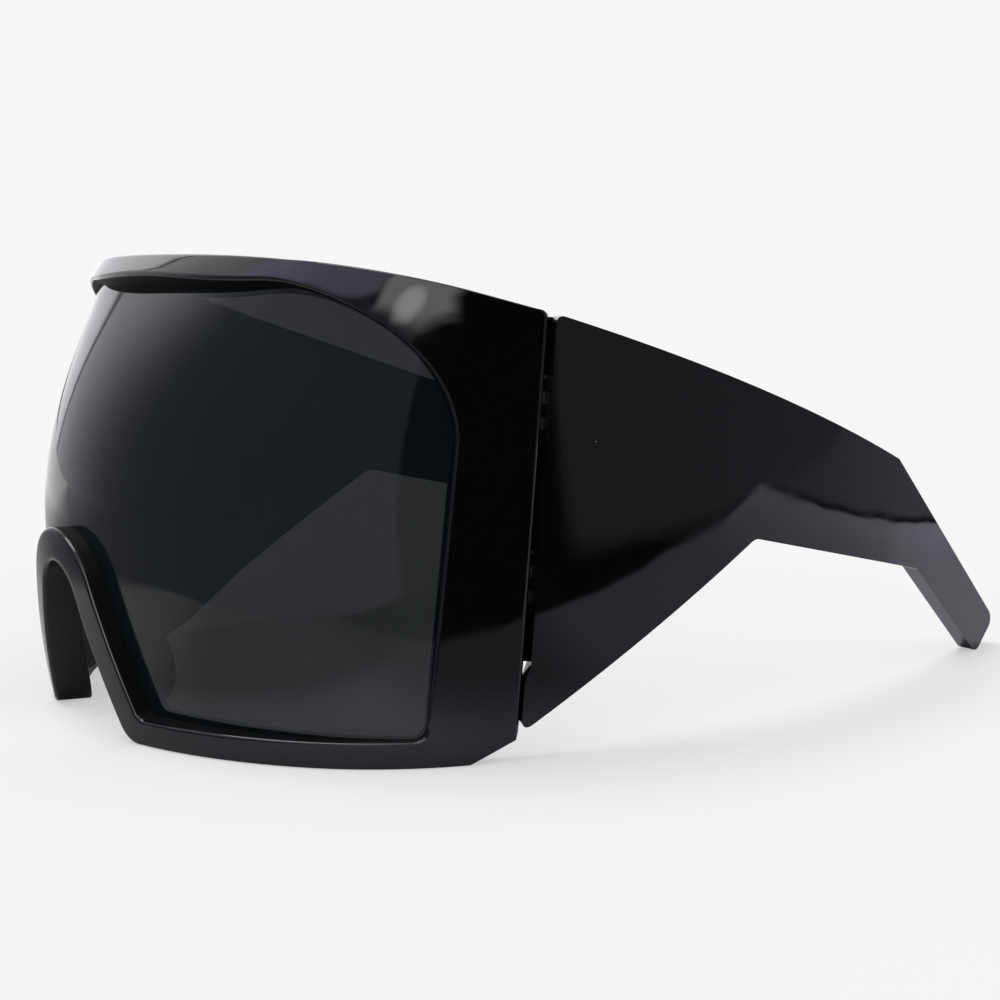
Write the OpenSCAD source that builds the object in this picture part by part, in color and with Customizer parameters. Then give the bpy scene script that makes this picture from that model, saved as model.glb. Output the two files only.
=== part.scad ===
// Oversized wraparound shield sunglasses, in millimetres.
// The wearer looks along -Y, the temples run back along +Y, and +X is the wearer's left.
// Shut up on a table they stand on the lower rim and the two temple tips, at z = 0.

/* [Front] */
// Radius of the middle of the front, seen from above
front_r = 80.2; // [76:0.2:85]
// Angle that the middle arc turns through on each side of the centre
front_turn = 40; // [30:1:50]
// Radius of the arc that wraps round each corner
corner_r = 58.6; // [55:0.1:63]
// Angle at which the corner arc hands over to the side arc
side_turn = 76; // [74:1:77]
// Radius of the side arc, which the ends of the front share with the temples
side_r = 180; // [160:5:220]
// Radius of the upright bulge in the middle, seen from the side, above the apex
bulge_r = 60; // [55:0.5:70]
// Radius of the flatter bulge under the apex
foot_bulge_r = 174; // [140:2:220]
// Height of the apex, where the middle stands furthest forward
apex_z = 35.8; // [33:0.1:38]
// Height that the brow line would reach at the very front
brow_z = 95.3; // [93:0.1:99]
// Slope of the brow line down towards the temples
brow_slope = 16.4; // [15:0.1:18]
// Thickness of the front in the middle
mid_t = 7.5; // [7:0.1:9]
// Thickness of the front at its ends, and of the temples
side_t = 4; // [3.8:0.1:5]
// Radius of the rounded edges of the front
edge_r = 0.7; // [0.4:0.1:1]

/* [Lens opening] */
// Height of the brow band above the lens, in the middle
brow_band = 4.3; // [3.5:0.1:6]
// How far the top of the opening falls before it turns down
opening_drop = 1.1; // [0.5:0.1:4]
// Half width of the opening at its foot, along the curve of the front
opening_half_w = 82.4; // [78:0.1:85]
// Lean of the side of the opening
opening_lean = 7.3; // [6:0.1:9]
// Width of the big upper corner of the opening
opening_corner_w = 39.6; // [32:0.1:44]
// Height of the big upper corner of the opening
opening_corner_h = 27.1; // [20:0.1:32]
// Radius of the small lower corners of the opening
opening_foot_r = 2.5; // [1:0.1:4]
// Width of the rim under the lens
rim_w = 4.8; // [4.5:0.1:6.5]
// Width of the rim round the nose notch
nose_band = 6.4; // [5:0.1:7.5]

/* [Nose notch] */
// Radius of the arch over the nose
notch_r = 9; // [8:0.1:11]
// Height of the centre of that arch
notch_z = 22.4; // [20:0.1:25]
// Lean of the notch's two flanks
notch_lean = 23.6; // [20:0.1:26]
// Radius at the foot of each flank
notch_foot_r = 5; // [3:0.1:7]
// Length of a nose pad
pad_l = 19; // [15:0.5:20]
// Width of a nose pad where it is bonded to the rim
pad_w = 4.4; // [3.5:0.1:4.6]
// How far a nose pad stands back from the rim
pad_d = 5.5; // [3:0.1:8]
// Angle at which a nose pad splays away from the nose
pad_splay = 24; // [10:1:35]

/* [Lens] */
// Thickness of the lens
lens_t = 2; // [1.8:0.1:2.1]
// Depth of the lens below the face of the rim, in the middle
mid_recess = 3.6; // [3:0.1:4.2]
// Depth of the lens below the face of the rim, at the sides
side_recess = 0.9; // [0.8:0.1:1.2]
// Depth of the groove that holds the edge of the lens
groove_d = 1.3; // [1:0.1:1.6]
// Clearance round the edge of the lens in its groove
lens_fit = 0.1; // [0.05:0.01:0.15]

/* [Seam between front and temple] */
// Distance of the seam behind the front, at the foot
seam_y = 55.3; // [54:0.1:57]
// Lean of the seam backwards
seam_lean = 5.6; // [4:0.1:7]
// Gap between the front and the temple at the foot of the seam
seam_gap = 0.6; // [0.5:0.1:0.9]
// Wider gap above that, where the hinges and the lip are
hinge_gap = 1.5; // [1.2:0.1:1.8]
// Thickness of the lip that closes the seam from inside
lip_t = 0.5; // [0.4:0.1:0.6]
// Slant of the seam through the thickness of the wall
seam_mitre = 22; // [10:1:30]
// Length of the slanting heel under the end of the front
heel_l = 8; // [5:0.5:11]
// Height of that heel at the seam
heel_h = 3.6; // [2:0.1:5]

/* [Temples] */
// Distance from the seam's foot to where the temple bends down
temple_l = 94.4; // [88:0.2:104]
// Height of the top edge where the temple bends down
bend_z = 44.6; // [42:0.2:48]
// Bow of the top edge between the hinge and the bend
top_bow = 1; // [0:0.1:3]
// Height of the temple's sharp front toe
toe_z = 4.4; // [3:0.1:7]
// Distance from the seam's foot to the inner corner under the temple
crook_l = 50.5; // [46:0.5:56]
// Height of that inner corner
crook_z = 34.1; // [32:0.1:36]
// Distance from the seam's foot to the inside of the bend
elbow_l = 101.7; // [98:0.2:106]
// Height of the inside of the bend
elbow_z = 21.6; // [19:0.2:24]
// Length of the run from the inside of the bend down to the tip's foot
tip_run = 25.7; // [22:0.1:28]
// Length of the tip's end, along the floor
tip_end_l = 8; // [6:0.1:10]
// Rise of the tip's end
tip_end_h = 5.7; // [4:0.1:8]
// Radius of the temple's rounded corners
temple_corner_r = 2.4; // [1:0.1:3]

/* [Hinges] */
// Height of the middle of the upper hinge
upper_hinge_z = 60; // [56:0.5:61]
// Height of the middle of the lower hinge
lower_hinge_z = 30; // [28:0.5:34]
// Height of one hinge knuckle
knuckle_h = 2.2; // [1.8:0.1:2.4]
// Outer radius of the knuckles
knuckle_r = 1.7; // [1.5:0.1:1.9]
// Radius of the hinge screw's shank
pin_r = 0.7; // [0.5:0.05:0.8]
// Running clearance of the hinge screw in the knuckles
pin_fit = 0.05; // [0.02:0.01:0.09]
// Gap between neighbouring knuckles
knuckle_gap = 0.1; // [0.06:0.01:0.2]
// Thickness of a hinge leaf
leaf_t = 1.1; // [0.8:0.1:1.2]
// Length of a hinge leaf from the hinge axis
leaf_l = 9.4; // [9:0.1:10.4]
// Depth to which a leaf is let into the wall
leaf_sink = 0.35; // [0.2:0.05:0.5]
// Radius of the leaf screws
leaf_screw_r = 0.5; // [0.4:0.05:0.6]
// Depth that the leaf screws reach into the wall
leaf_screw_l = 2.1; // [1.5:0.1:2.4]

/* [Hidden] */

// Degrees in one radian
RAD = 180 / PI;
// One overrun serves every cut
overrun = 1;
// Power with which the bulge fades towards the sides
bulge_fade = 1.45;

// Plan of the skin: three arcs that run into one another
middle_end = front_r * [sin(front_turn), 1 - cos(front_turn)];
corner_end = middle_end
    + corner_r * [sin(side_turn) - sin(front_turn), cos(front_turn) - cos(side_turn)];
side_centre = corner_end + side_r * [-sin(side_turn), cos(side_turn)];
middle_len = front_r * front_turn / RAD;
corner_len = corner_r * (side_turn - front_turn) / RAD;

// Angle of the skin at a flat distance u from the centre
function turn(u) = u < middle_len ? u / front_r * RAD
    : u < middle_len + corner_len ? front_turn + (u - middle_len) / corner_r * RAD
    : side_turn + (u - middle_len - corner_len) / side_r * RAD;

// Plan point at the angle a
function plan(a) = a < front_turn ? front_r * [sin(a), 1 - cos(a)]
    : a < side_turn ? middle_end + corner_r * [sin(a) - sin(front_turn), cos(front_turn) - cos(a)]
    : corner_end + side_r * [sin(a) - sin(side_turn), cos(side_turn) - cos(a)];

// Share of the bulge that is left at the angle a, from 1 in the middle to 0 at the side
function fade(a) = a < side_turn ? pow(cos(90 * a / side_turn), bulge_fade) : 0;

// Radius of the bulge at the height z
function bulge_at(z) = z < apex_z ? foot_bulge_r : bulge_r;

// Point of the skin at flat distance u, height z and depth d under the face
function skin(u, z, d) = let(
        a = turn(u),
        p = plan(a),
        slope = fade(a) * (z - apex_z) / bulge_at(z),
        lean = norm([1, slope]),
        inset = fade(a) * pow(z - apex_z, 2) / (2 * bulge_at(z)) + d / lean)
    [p.x - sin(a) * inset, p.y + cos(a) * inset, z - d * slope / lean];

// The same point with its height brought to the floor
function floor_skin(u, d) = let(
        slope = -fade(turn(u)) * apex_z / foot_bulge_r,
        p = skin(u, d * slope / norm([1, slope]), d))
    [p.x, p.y, 0];

// Height of the brow line at flat distance u
function brow_at(u) = let(
        a = turn(u),
        s = tan(brow_slope),
        k = s * cos(a) * fade(a) / (2 * bulge_r),
        rise = brow_z - s * plan(a).y - apex_z)
    apex_z + 2 * rise / (1 + sqrt(1 + 4 * k * rise));

// Angle of the side arc at the distance y behind the front
function side_angle(y) = acos(cos(side_turn) - (y - corner_end.y) / side_r);

// Flat distance of the seam at height z and depth d, with the mitre through the wall
function seam_at(z, d) =
    middle_len + corner_len
    + side_r * (side_angle(seam_y + z * tan(seam_lean)) - side_turn) / RAD
    + d * tan(seam_mitre);

// Depth of the back of the front, and of the lens, at flat distance u
function front_t(u) = side_t + (mid_t - side_t) * fade(turn(u));
function recess(u) = side_recess + (mid_recess - side_recess) * fade(turn(u));

// Height of the top corner, where the brow line meets the seam
seam_top = brow_at(seam_at(brow_at(seam_at(brow_z, 0)), 0));

// Outline of the notch and of the opening beside it: an arch of radius r on two leaning flanks
function flank_u(z, r) = (r + (notch_z - z) * sin(notch_lean)) / cos(notch_lean);
function arch_pt(t, r) = [r * sin(t), notch_z + r * cos(t)];

// Points from p to q, leaving out q
function run(p, q, n) = [for (i = [0:n - 1]) p + (q - p) * i / n];

// Rounded corner between the floor line at height z and a flank of radius r, leaving out its end
function foot(z, r, round_r, n) = let(
        centre = [flank_u(z + round_r, r) + round_r / cos(notch_lean), z + round_r])
    [for (i = [0:n - 1]) let(t = (90 - notch_lean) * i / n)
        centre - round_r * [sin(t), cos(t)]];
function foot_end(z, r, round_r) = let(
        centre = [flank_u(z + round_r, r) + round_r / cos(notch_lean), z + round_r])
    centre - round_r * [cos(notch_lean), sin(notch_lean)];

// Stations round half of the front, from the top centre to the top of the notch
top_n = 20;
seam_n = 14;
heel_n = 2;
floor_n = 14;
foot_n = 5;
flank_n = 5;
arch_n = 8;
half_n = top_n + seam_n + heel_n + floor_n + foot_n + flank_n + arch_n;

// Outer edge: each station is [flat distance, height, kind], kind 1 on the seam and 2 on the floor
seam_foot_u = seam_at(0, 0);
floor_end = foot(0, notch_r, notch_foot_r, 1)[0];
notch_foot_end = foot_end(0, notch_r, notch_foot_r);
arch_start = arch_pt(90 - notch_lean, notch_r);
outer_half = concat(
    [for (i = [0:top_n - 1]) let(u = seam_at(seam_top, 0) * i / top_n) [u, brow_at(u), 0]],
    [for (i = [0:seam_n - 1]) [0, seam_top + (heel_h - seam_top) * i / seam_n, 1]],
    [[0, heel_h, 1], [seam_foot_u - heel_l / 2, heel_h / 2, 0]],
    [for (p = run([seam_foot_u - heel_l, 0], floor_end, floor_n)) [p.x, 0, 2]],
    [for (p = foot(0, notch_r, notch_foot_r, foot_n)) [p.x, p.y, p.y > 0 ? 0 : 2]],
    [for (p = run(notch_foot_end, arch_start, flank_n)) [p.x, p.y, 0]],
    [for (i = [0:arch_n]) let(p = arch_pt((90 - notch_lean) * (1 - i / arch_n), notch_r))
        [p.x, p.y, 0]]);

// Inner edge, round the opening, with as many stations
opening_top = brow_at(0) - brow_band;
corner_z = opening_top - opening_drop - opening_corner_h;
function opening_side(z) = opening_half_w + z * tan(opening_lean);
corner_u = opening_side(corner_z) - opening_corner_w;
straight_n = round(top_n * corner_u / seam_at(seam_top, 0));
bend_n = top_n - straight_n;
// Part of the big corner that belongs to the top edge, as an angle from its top
corner_split = 52;
corner_seam_n = 4;
function corner_pt(t) = [corner_u + opening_corner_w * sin(t), corner_z + opening_corner_h * cos(t)];
opening_foot_u = opening_side(rim_w + opening_foot_r);
open_r = notch_r + nose_band;
inner_half = concat(
    run([0, opening_top], corner_pt(0), straight_n),
    [for (i = [0:bend_n - 1]) corner_pt(corner_split * i / bend_n)],
    [for (i = [0:corner_seam_n - 1])
        corner_pt(corner_split + (90 - corner_split) * i / corner_seam_n)],
    run([opening_side(corner_z), corner_z], [opening_foot_u, rim_w + opening_foot_r],
        seam_n - corner_seam_n),
    [for (i = [0:heel_n]) let(t = 90 * i / heel_n)
        [opening_foot_u - opening_foot_r * (1 - cos(t)), rim_w + opening_foot_r * (1 - sin(t))]],
    [for (i = [1:floor_n - 1]) let(
            from = [opening_foot_u - opening_foot_r, rim_w],
            to = foot(rim_w, open_r, opening_foot_r, 1)[0])
        from + (to - from) * i / floor_n],
    foot(rim_w, open_r, opening_foot_r, foot_n),
    run(foot_end(rim_w, open_r, opening_foot_r), arch_pt(90 - notch_lean, open_r), flank_n),
    [for (i = [0:arch_n]) arch_pt((90 - notch_lean) * (1 - i / arch_n), open_r)]);

// Flat point on the outer edge at station i and depth d, and points inset from each edge
function outer_at(i, d) = let(s = outer_half[i])
    s[2] == 1 ? [seam_at(s[1], d), s[1]] : [s[0], s[1]];
function inward(i, inset, d) = let(o = outer_at(i, d), in = inner_half[i])
    o + (in - o) * inset / norm(in - o);
function outward(i, inset) = let(o = outer_at(i, 0), in = inner_half[i])
    in + (o - in) * inset / norm(o - in);

// Section across the front at station i: the rounded face, the lens groove and the back
face_shares = [0.25, 0.5, 0.75];
round_in = edge_r * (1 - cos(45));
function edge_pt(i, inset, d) = let(p = inward(i, inset, d))
    outer_half[i][2] == 2 && inset == 0 ? floor_skin(p.x, d) : skin(p.x, p.y, d);
function face_pt(i, share) = let(o = outer_at(i, 0), p = o + (inner_half[i] - o) * share)
    skin(p.x, p.y, 0);
function back_pt(i, share) = let(
        o = outer_at(i, front_t(inner_half[i].x)),
        p = inner_half[i] + (o - inner_half[i]) * share)
    skin(p.x, p.y, front_t(p.x));
function lip_pt(i, inset, d) = let(p = outward(i, inset)) skin(p.x, p.y, d);
function seat_pt(i, inset, behind) = let(p = outward(i, inset))
    skin(p.x, p.y, recess(p.x) + behind);
function section(i) = concat(
    [edge_pt(i, 0, edge_r), edge_pt(i, round_in, round_in), edge_pt(i, edge_r, 0)],
    [for (s = face_shares) face_pt(i, s)],
    [lip_pt(i, edge_r, 0), lip_pt(i, round_in, round_in), lip_pt(i, 0, edge_r)],
    [seat_pt(i, 0, 0), seat_pt(i, groove_d, 0)],
    [seat_pt(i, groove_d, lens_t + lens_fit), seat_pt(i, 0, lens_t + lens_fit)],
    [lip_pt(i, 0, front_t(inner_half[i].x))],
    [for (s = face_shares) back_pt(i, s)],
    [edge_pt(i, 0, front_t(outer_at(i, 0).x))]);

function flip(p) = [-p.x, p.y, p.z];
function other_half(rows) = [for (i = [len(rows) - 2:-1:1]) [for (p = rows[i]) flip(p)]];

// Closed tube of sections, joined round from the last to the first
module ring_of(rows) {
    n = len(rows);
    m = len(rows[0]);
    points = [for (row = rows) for (p = row) p];
    faces = [for (i = [0:n - 1]) for (j = [0:m - 1]) let(
            a = i * m + j, b = i * m + (j + 1) % m,
            c = ((i + 1) % n) * m + (j + 1) % m, d = ((i + 1) % n) * m + j)
        each [[a, c, b], [a, d, c]]];
    polyhedron(points, faces);
}

// Solid of sections that is closed by a flat cap at each end
module loft_of(rows) {
    n = len(rows);
    m = len(rows[0]);
    points = [for (row = rows) for (p = row) p];
    faces = concat(
        [for (i = [0:n - 2]) for (j = [0:m - 1]) let(
                a = i * m + j, b = i * m + (j + 1) % m,
                c = (i + 1) * m + (j + 1) % m, d = (i + 1) * m + j)
            each [[a, c, b], [a, d, c]]],
        [[for (j = [0:m - 1]) j]],
        [[for (j = [m - 1:-1:0]) (n - 1) * m + j]]);
    polyhedron(points, faces);
}

// Frame of the hinges: x out of the wall, y back along it, z up the seam
hinge_z = (upper_hinge_z + lower_hinge_z) / 2;
function seam_pt(z) = skin(seam_at(z, 0), z, 0);
seam_dir = (seam_pt(upper_hinge_z) - seam_pt(lower_hinge_z))
    / norm(seam_pt(upper_hinge_z) - seam_pt(lower_hinge_z));
seam_out = atan2(seam_dir.x, seam_dir.z);
seam_back = asin(seam_dir.y);
wall_yaw = turn(seam_at(hinge_z, 0)) - 90;
hinge_reach = (upper_hinge_z - lower_hinge_z) / 2 / seam_dir.z;
axis_x = -side_t + leaf_sink - knuckle_r;
axis_y = side_t * tan(seam_mitre) + hinge_gap / 2;

module at_seam() {
    translate(seam_pt(hinge_z))
        rotate([-seam_back, seam_out, 0])
            rotate([0, 0, wall_yaw])
                children();
}

module at_hinge(up) {
    at_seam() translate([axis_x, axis_y, up * hinge_reach]) children();
}

// Hinge: five knuckles on one screw, three on the front's leaf and two on the temple's
knuckles = 5;
hinge_h = knuckles * knuckle_h;
leaf_x = knuckle_r - leaf_t;
leaf_corner_r = 1.2;
leaf_gap = 0.35;
screw_shares = [[0.5, 0.27], [0.76, -0.27]];
screw_head_r = 2 * leaf_screw_r;
screw_head_h = 0.45;
pin_head_r = 1.25;
pin_head_h = 0.5;
slot_w = 0.3;
slot_d = 0.2;

module knuckle(i) {
    translate([0, 0, -hinge_h / 2 + i * knuckle_h + knuckle_gap / 2])
        cylinder(r = knuckle_r, h = knuckle_h - knuckle_gap, $fn = 48);
}

// Web that joins a knuckle to its leaf
module knuckle_web(i, side) {
    translate([leaf_x, side > 0 ? 0 : -knuckle_r - leaf_gap,
               -hinge_h / 2 + i * knuckle_h + knuckle_gap / 2])
        cube([leaf_t, knuckle_r + leaf_gap, knuckle_h - knuckle_gap]);
}

// Plate of a leaf, on the front's side for side = -1 and on the temple's for side = 1
module leaf_plate(side) {
    from = knuckle_r + leaf_gap;
    far = leaf_l - leaf_corner_r;
    translate([leaf_x, 0, 0]) rotate([0, 90, 0]) linear_extrude(leaf_t) union() {
        translate([-hinge_h / 2, side > 0 ? from : -far]) square([hinge_h, far - from]);
        translate([leaf_corner_r - hinge_h / 2, side > 0 ? from : -leaf_l])
            square([hinge_h - 2 * leaf_corner_r, leaf_l - from]);
        for (v = [-1, 1])
            translate([v * (hinge_h / 2 - leaf_corner_r), side * far])
                circle(r = leaf_corner_r, $fn = 32);
    }
}

// Places of the leaf screws on one leaf
module at_leaf_screws(side) {
    for (s = screw_shares)
        translate([leaf_x, side * leaf_l * s.x, hinge_h * s.y]) rotate([0, 90, 0]) children();
}

module leaf(side) {
    difference() {
        union() {
            leaf_plate(side);
            for (i = [0:knuckles - 1]) if ((i % 2 == 0) == (side < 0)) {
                knuckle(i);
                knuckle_web(i, side);
            }
        }
        cylinder(r = pin_r + pin_fit, h = hinge_h + 2 * overrun, center = true, $fn = 48);
        at_leaf_screws(side) translate([0, 0, -overrun])
            cylinder(r = leaf_screw_r, h = leaf_t + 2 * overrun, $fn = 32);
    }
}

// Room in a wall for the knuckles, one leaf and its screws
module hinge_room(side) {
    room = pin_head_h + leaf_gap;
    cylinder(r = knuckle_r + leaf_gap / 2, h = hinge_h + 2 * room, center = true, $fn = 48);
    translate([-knuckle_r, side > 0 ? 0 : -leaf_l, -hinge_h / 2])
        cube([2 * knuckle_r, leaf_l, hinge_h]);
    at_leaf_screws(side) cylinder(r = leaf_screw_r, h = leaf_t + leaf_screw_l, $fn = 32);
}

module hinge_screw() {
    difference() {
        union() {
            cylinder(r = pin_r, h = hinge_h, center = true, $fn = 48);
            translate([0, 0, hinge_h / 2]) cylinder(r = pin_head_r, h = pin_head_h, $fn = 48);
        }
        translate([-pin_head_r, -slot_w / 2, hinge_h / 2 + pin_head_h - slot_d])
            cube([2 * pin_head_r, slot_w, slot_d + overrun]);
    }
}

// One small screw: its head lies on the leaf and its shank is in the wall
module leaf_screw() {
    difference() {
        union() {
            translate([0, 0, -screw_head_h]) cylinder(r = screw_head_r, h = screw_head_h, $fn = 32);
            cylinder(r = leaf_screw_r, h = leaf_t + leaf_screw_l, $fn = 32);
        }
        translate([-screw_head_r, -slot_w / 2, -screw_head_h - overrun])
            cube([2 * screw_head_r, slot_w, slot_d + overrun]);
    }
}

module leaf_screws(side) {
    for (up = [-1, 1]) at_hinge(up) at_leaf_screws(side) leaf_screw();
}

module other_side(flipped) {
    if (flipped) mirror([1, 0, 0]) children();
    else children();
}

// Lip along the end of the front: it stands off the wall and reaches behind the gap
lip_reach = 1;
lip_foot_z = 16.5;
lip_top_drop = 0.9;
lip_low = (lip_foot_z - hinge_z) / seam_dir.z;
lip_high = (seam_top - lip_top_drop - hinge_z) / seam_dir.z;
lip_air = 0.4;
module lip() {
    web_far = knuckle_r + leaf_gap;
    web_near = hinge_gap / 2 + leaf_sink;
    h = lip_high - lip_low;
    at_seam() translate([-side_t - lip_air - lip_t, axis_y, lip_low]) {
        translate([0, -web_far, 0]) cube([lip_t, web_far + lip_reach, h]);
        translate([0, -web_far, 0]) cube([lip_t + lip_air + leaf_sink, web_far - web_near, h]);
    }
}

module front_frame() {
    rows = [for (i = [0:half_n]) section(i)];
    color([0.02, 0.02, 0.025]) difference() {
        union() {
            ring_of(concat(rows, other_half(rows)));
            for (flipped = [false, true]) other_side(flipped) lip();
        }
        for (flipped = [false, true]) other_side(flipped)
            for (up = [-1, 1]) at_hinge(up) hinge_room(-1);
    }
}

// Lens: its upper and lower edges run from the centre to the same lower corner, and the first
// and last rows of its mesh lie in the groove
rows_n = 12;
upper_n = top_n + seam_n;
function lens_edge(i) = outward(i, groove_d - lens_fit);
function lens_pt(i, k) = let(j = half_n - i)
    k == 0 ? lens_edge(i) : k == rows_n ? lens_edge(j)
    : inner_half[i] + (inner_half[j] - inner_half[i]) * (k - 1) / (rows_n - 2);

module lens() {
    side_n = rows_n + 1;
    grid = [for (i = [-upper_n + 1:upper_n - 1]) for (k = [0:rows_n]) let(
            p = lens_pt(abs(i), k))
        i < 0 ? [-p.x, p.y] : p];
    tips = [for (s = [-1, 1]) let(p = lens_edge(upper_n)) [s * p.x, p.y]];
    flat = concat(grid, tips);
    n = len(flat);
    columns = 2 * upper_n - 1;
    function at(p, d) = let(q = skin(abs(p.x), p.y, recess(abs(p.x)) + d))
        [p.x < 0 ? -q.x : q.x, q.y, q.z];
    points = concat([for (p = flat) at(p, lens_fit / 2)], [for (p = flat) at(p, lens_fit / 2 + lens_t)]);
    first = n - 2;
    last = n - 1;
    top = [for (i = [0:columns - 1]) i * side_n];
    bottom = [for (i = [columns - 1:-1:0]) i * side_n + rows_n];
    rim = concat([first], top, [last], bottom);
    front = concat(
        [for (i = [0:columns - 2]) for (k = [0:rows_n - 1]) let(
                a = i * side_n + k, b = a + side_n)
            each [[a, b, b + 1], [a, b + 1, a + 1]]],
        [for (k = [0:rows_n - 1]) [first, k, k + 1]],
        [for (k = [0:rows_n - 1]) let(a = (columns - 1) * side_n + k) [a, last, a + 1]]);
    faces = concat(
        front,
        [for (f = front) [f[2] + n, f[1] + n, f[0] + n]],
        [for (j = [0:len(rim) - 1]) let(a = rim[j], b = rim[(j + 1) % len(rim)])
            each [[a, a + n, b + n], [a, b + n, b]]]);
    color([0.12, 0.14, 0.13, 0.75]) polyhedron(points, faces);
}

// Nose pad: a bean bonded behind the notch's flank
pad_n = 12;
pad_sides = 10;
pad_gap = 0.05;
pad_inset_share = 0.5;
pad_mid_z = notch_foot_r + pad_l / 2 * cos(notch_lean);
// Smallest share of its full section that the pad keeps at its ends
pad_end_share = 0.2;
module nose_pad() {
    rows = [for (i = [0:pad_n]) let(
            t = -90 + 180 * i / pad_n,
            z = pad_mid_z + pad_l / 2 * sin(t) * cos(notch_lean),
            swell = pad_end_share + (1 - pad_end_share) * cos(t),
            u = flank_u(z, notch_r + nose_band * pad_inset_share))
        [for (j = [0:pad_sides]) let(
                b = 180 * j / pad_sides,
                d = pad_d * swell * sin(b),
                across = pad_w / 2 * swell * cos(b) + d * tan(pad_splay),
                at = u + across / cos(notch_lean))
            skin(at, z, front_t(at) + pad_gap + d)]];
    color([0.02, 0.02, 0.025]) loft_of(rows);
}

// Corners of the side view of a temple, as [distance behind the front, height, corner radius]
front_cover = 8;
bend_y = seam_y + temple_l;
top_start_y = seam_y - front_cover;
function brow_line(y) = brow_z - y * tan(brow_slope);
seam_top_y = seam_y + seam_top * tan(seam_lean);
elbow_y = seam_y + elbow_l;
tip_foot_y = elbow_y + tip_run;
// The tip's foot is rounded too, so its corner lies lower than the floor that its arc touches
to_elbow = unit([-tip_run, elbow_z]);
to_tip = unit([tip_end_l, tip_end_h]);
foot_rise = temple_corner_r / sin(acos(to_elbow * to_tip) / 2) * unit(to_elbow + to_tip).y;
tip_foot_z = temple_corner_r - foot_rise;
toe_y = seam_y + toe_z * tan(seam_lean);
crook_y = seam_y + crook_l;
belly_slope = (crook_z - toe_z) / (crook_y - toe_y);
top_n_side = 12;
top_edge = [for (i = [0:top_n_side - 1]) let(
        f = i / top_n_side,
        y = seam_top_y + (bend_y - seam_top_y) * f)
    [y, seam_top + (bend_z - seam_top) * f + 4 * top_bow * f * (1 - f), 0]];
side_corners = concat(
    [[top_start_y, brow_line(top_start_y), 0]],
    top_edge,
    [[bend_y, bend_z, temple_corner_r],
     [tip_foot_y + tip_end_l, tip_end_h, temple_corner_r],
     [tip_foot_y, tip_foot_z, temple_corner_r],
     [elbow_y, elbow_z, temple_corner_r],
     [crook_y, crook_z, temple_corner_r],
     [top_start_y, toe_z - (toe_y - top_start_y) * belly_slope, 0]]);

// Points of a polygon whose corners are arcs with their third value as radius
corner_steps = 6;
function unit(v) = v / norm(v);
function round_corner(p, ta, tb, r) = let(
        half = acos(ta * tb) / 2,
        centre = p + unit(ta + tb) * r / sin(half),
        from = p + ta * r / tan(half) - centre,
        sweep = sign(ta.x * tb.y - ta.y * tb.x) * (2 * half - 180))
    [for (k = [0:corner_steps]) let(t = sweep * k / corner_steps)
        centre + [from.x * cos(t) - from.y * sin(t), from.x * sin(t) + from.y * cos(t)]];
function rounded(corners) = [for (i = [0:len(corners) - 1]) let(
        n = len(corners),
        p = [corners[i].x, corners[i].y],
        a = [corners[(i + n - 1) % n].x, corners[(i + n - 1) % n].y],
        b = [corners[(i + 1) % n].x, corners[(i + 1) % n].y],
        r = corners[i].z)
    each r == 0 ? [p] : round_corner(p, unit(a - p), unit(b - p), r)];

// Wall of a temple seen from above: the side arc, then straight on past the bend
bend_angle = asin((bend_y - side_centre.y) / side_r);
module inside_wall(r) {
    rotate([0, 0, bend_angle]) union() {
        circle(r = r, $fn = 180);
        square([r, temple_l]);
    }
}
module temple_wall() {
    translate([side_centre.x, side_centre.y, -overrun]) linear_extrude(brow_z) difference() {
        inside_wall(side_r);
        inside_wall(side_r - side_t);
    }
}

// All that lies behind the temple's front face, which stands further back beside the hinges
relief_ramp = 3;
module behind_seam() {
    relief = (hinge_gap - seam_gap) * cos(seam_mitre);
    far = 2 * temple_l;
    outline = [[0, -brow_z], [0, lip_low - relief_ramp], [relief, lip_low], [relief, brow_z],
        [far, brow_z], [far, -brow_z]];
    at_seam() translate([0, seam_gap, 0]) rotate([0, 0, -seam_mitre])
        translate([-temple_l, 0, 0]) rotate([90, 0, 90]) linear_extrude(far) polygon(outline);
}

module temple() {
    reach_x = side_centre.x + side_r + overrun;
    color([0.02, 0.02, 0.025]) difference() {
        intersection() {
            temple_wall();
            rotate([90, 0, 90]) linear_extrude(reach_x) polygon(rounded(side_corners));
            behind_seam();
        }
        for (up = [-1, 1]) at_hinge(up) hinge_room(1);
    }
}

module nose_pad_left() nose_pad();
module nose_pad_right() other_side(true) nose_pad();
module temple_left() temple();
module temple_right() other_side(true) temple();

metal = [0.2, 0.2, 0.21];
module leaf_at(up, side) color(metal) at_hinge(up) leaf(side);
module hinge_screw_at(up) color(metal) at_hinge(up) hinge_screw();

// The origin is on the floor, midway between the arch over the nose and the ends of the tips
tip_back_y = tip_foot_y + tip_end_l - temple_corner_r;
mid_y = (skin(0, notch_z + notch_r, 0).y + edge_r + tip_back_y) / 2;
module placed() translate([0, -mid_y, 0]) children();

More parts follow.
